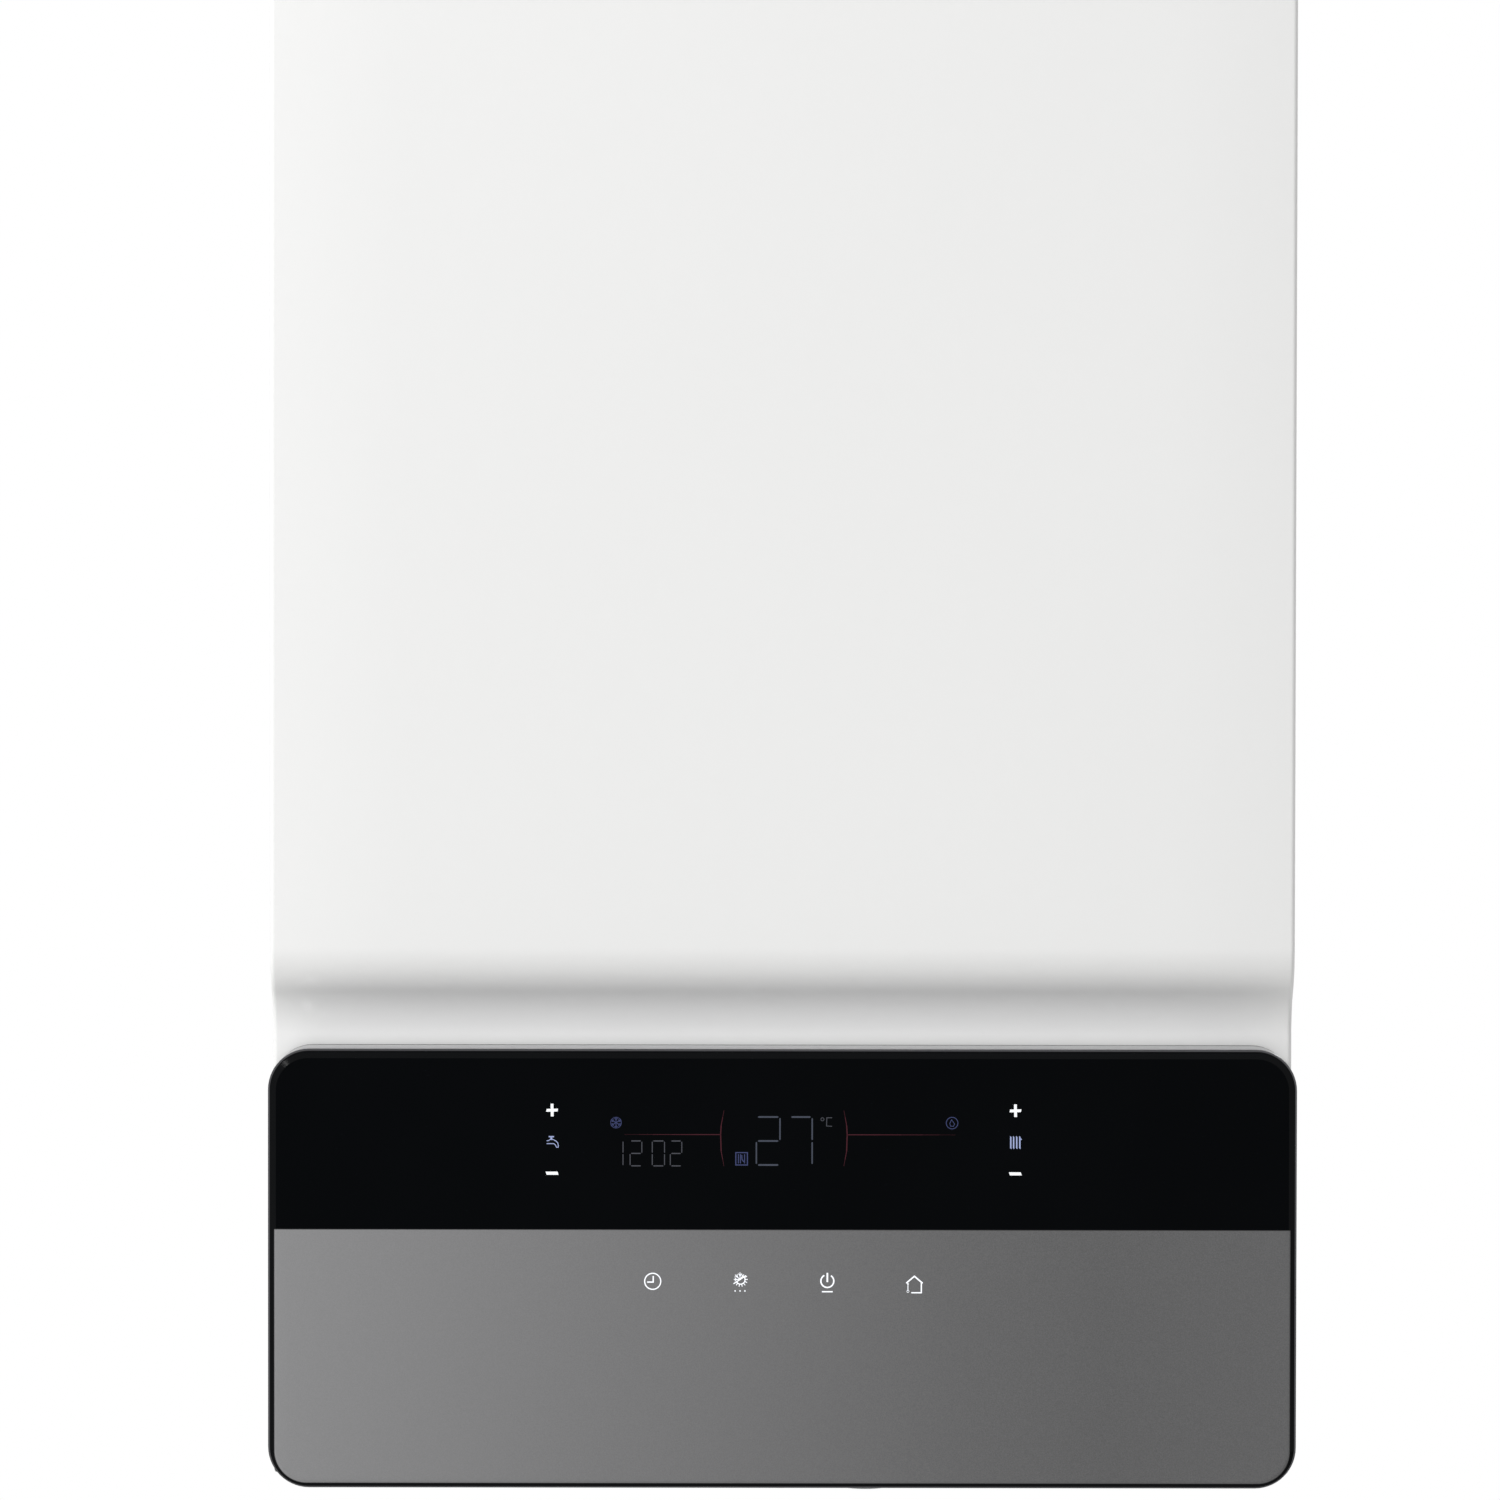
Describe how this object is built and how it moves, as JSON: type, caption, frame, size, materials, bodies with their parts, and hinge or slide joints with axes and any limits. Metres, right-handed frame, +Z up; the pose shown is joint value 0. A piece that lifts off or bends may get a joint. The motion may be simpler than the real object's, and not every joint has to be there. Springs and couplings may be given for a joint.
{
  "type": "wall-hung combi boiler",
  "caption": "Wall-hung condensing combi boiler with a lift-off front cover, a tilting touch panel and its full gas, flue and water parts inside.",
  "frame": {"origin": "on the wall plane, at the middle of the casing's bottom edge", "axes": "+X to the viewer's right, +Y into the wall, +Z up"},
  "size_m": [0.4, 0.3, 0.769],
  "materials": {
    "white_enamel": "gloss",
    "galvanised": "satin",
    "zinc": "satin",
    "black_glass": "gloss",
    "silver_trim": "satin",
    "grey_moulding": "matte",
    "black_moulding": "matte",
    "dark_moulding": "matte",
    "circuit_board": "satin",
    "display": "gloss",
    "stainless": "satin",
    "cast_aluminium": "matte",
    "exchanger_alloy": "matte",
    "burner_fibre": "matte",
    "copper": "satin",
    "brass": "satin",
    "red_paint": "satin",
    "gasket_foam": "matte",
    "diaphragm_rubber": "matte",
    "ceramic": "matte",
    "flue_plastic": "matte",
    "flue_enamel": "satin",
    "composite": "matte",
    "red_knob": "satin",
    "blue_knob": "satin",
    "siphon_plastic": "matte"
  },
  "bodies": {
    "casing": {"wall_bracket": "galvanised", "back_panel": "galvanised", "side_panel_right": "white_enamel", "side_panel_left": "white_enamel", "top_plate": "galvanised", "bottom_plate": "galvanised", "casing_screws": "zinc", "cable_glands": "black_moulding", "panel_hinge_pins": "zinc", "flue_air_collar": "flue_enamel", "flue_test_caps": "black_moulding", "flue_duct": "flue_plastic", "exchanger_rail": "galvanised", "exchanger_case": "stainless", "exchanger_coil": "exchanger_alloy", "burner_head": "burner_fibre", "burner_door": "cast_aluminium", "burner_door_nuts": "zinc", "ignition_electrodes": "ceramic", "ignition_transformer": "black_moulding", "fan_housing": "cast_aluminium", "fan_motor": "black_moulding", "venturi_mixer": "cast_aluminium", "air_silencer": "black_moulding", "gas_valve_body": "cast_aluminium", "gas_valve_coils": "black_moulding", "gas_feed_pipe": "stainless", "gas_supply_pipe": "brass", "expansion_vessel_rear": "red_paint", "expansion_vessel_front": "red_paint", "vessel_diaphragm": "diaphragm_rubber", "vessel_pipe": "copper", "plate_heat_exchanger": "stainless", "flow_manifold": "brass", "return_manifold": "brass", "diverter_motor": "black_moulding", "pump_housing": "composite", "pump_motor": "dark_moulding", "air_vent": "brass", "safety_valve": "brass", "flow_pipe": "copper", "return_pipe": "copper", "condensate_siphon": "siphon_plastic", "condensate_drain_pipe": "siphon_plastic"},
    "control_panel": {"fascia_glass": "black_glass", "fascia_bezel": "silver_trim", "control_tray": "grey_moulding", "control_box_cover": "grey_moulding", "control_box_screws": "zinc", "main_board": "circuit_board", "touch_board": "circuit_board", "display_module": "display"},
    "front_cover": {"front_cover": "white_enamel", "cover_gasket": "gasket_foam"},
    "fan_impeller": {"fan_impeller": "dark_moulding"},
    "pump_impeller": {"pump_impeller": "dark_moulding"},
    "flow_turbine": {"flow_turbine": "dark_moulding"},
    "diverter_stem": {"diverter_stem": "dark_moulding"},
    "safety_valve_knob": {"safety_valve_knob": "red_knob"},
    "fill_tap_knob": {"fill_tap_knob": "blue_knob"}
  },
  "joints": [
    {"name": "panel_tilt", "type": "hinge", "parent": "casing", "child": "control_panel", "pos_m": [0, -0.255, 0.015], "axis": [1, 0, 0], "range_deg": [0, 90]},
    {"name": "cover_lift", "type": "slide", "parent": "casing", "child": "front_cover", "axis": [0, 0, 1], "range_m": [0, 0.56]},
    {"name": "fan_spin", "type": "hinge", "parent": "casing", "child": "fan_impeller", "pos_m": [-0.118, -0.2162, 0.3], "axis": [0, 1, 0], "continuous": true},
    {"name": "pump_spin", "type": "hinge", "parent": "casing", "child": "pump_impeller", "pos_m": [0.112, -0.11, 0.182], "axis": [0, 1, 0], "continuous": true},
    {"name": "turbine_spin", "type": "hinge", "parent": "casing", "child": "flow_turbine", "pos_m": [0.065, -0.11, 0.063], "axis": [0, 0, 1], "continuous": true},
    {"name": "diverter_stroke", "type": "slide", "parent": "casing", "child": "diverter_stem", "axis": [0, 0, 1], "range_m": [0, 0.007]},
    {"name": "safety_valve_turn", "type": "hinge", "parent": "casing", "child": "safety_valve_knob", "pos_m": [-0.13, -0.17, 0.06], "axis": [0, 1, 0], "range_deg": [0, 90]},
    {"name": "fill_tap_turn", "type": "hinge", "parent": "casing", "child": "fill_tap_knob", "pos_m": [0.0975, -0.11, -0.0145], "axis": [0, 0, 1], "range_deg": [0, 270]}
  ]
}
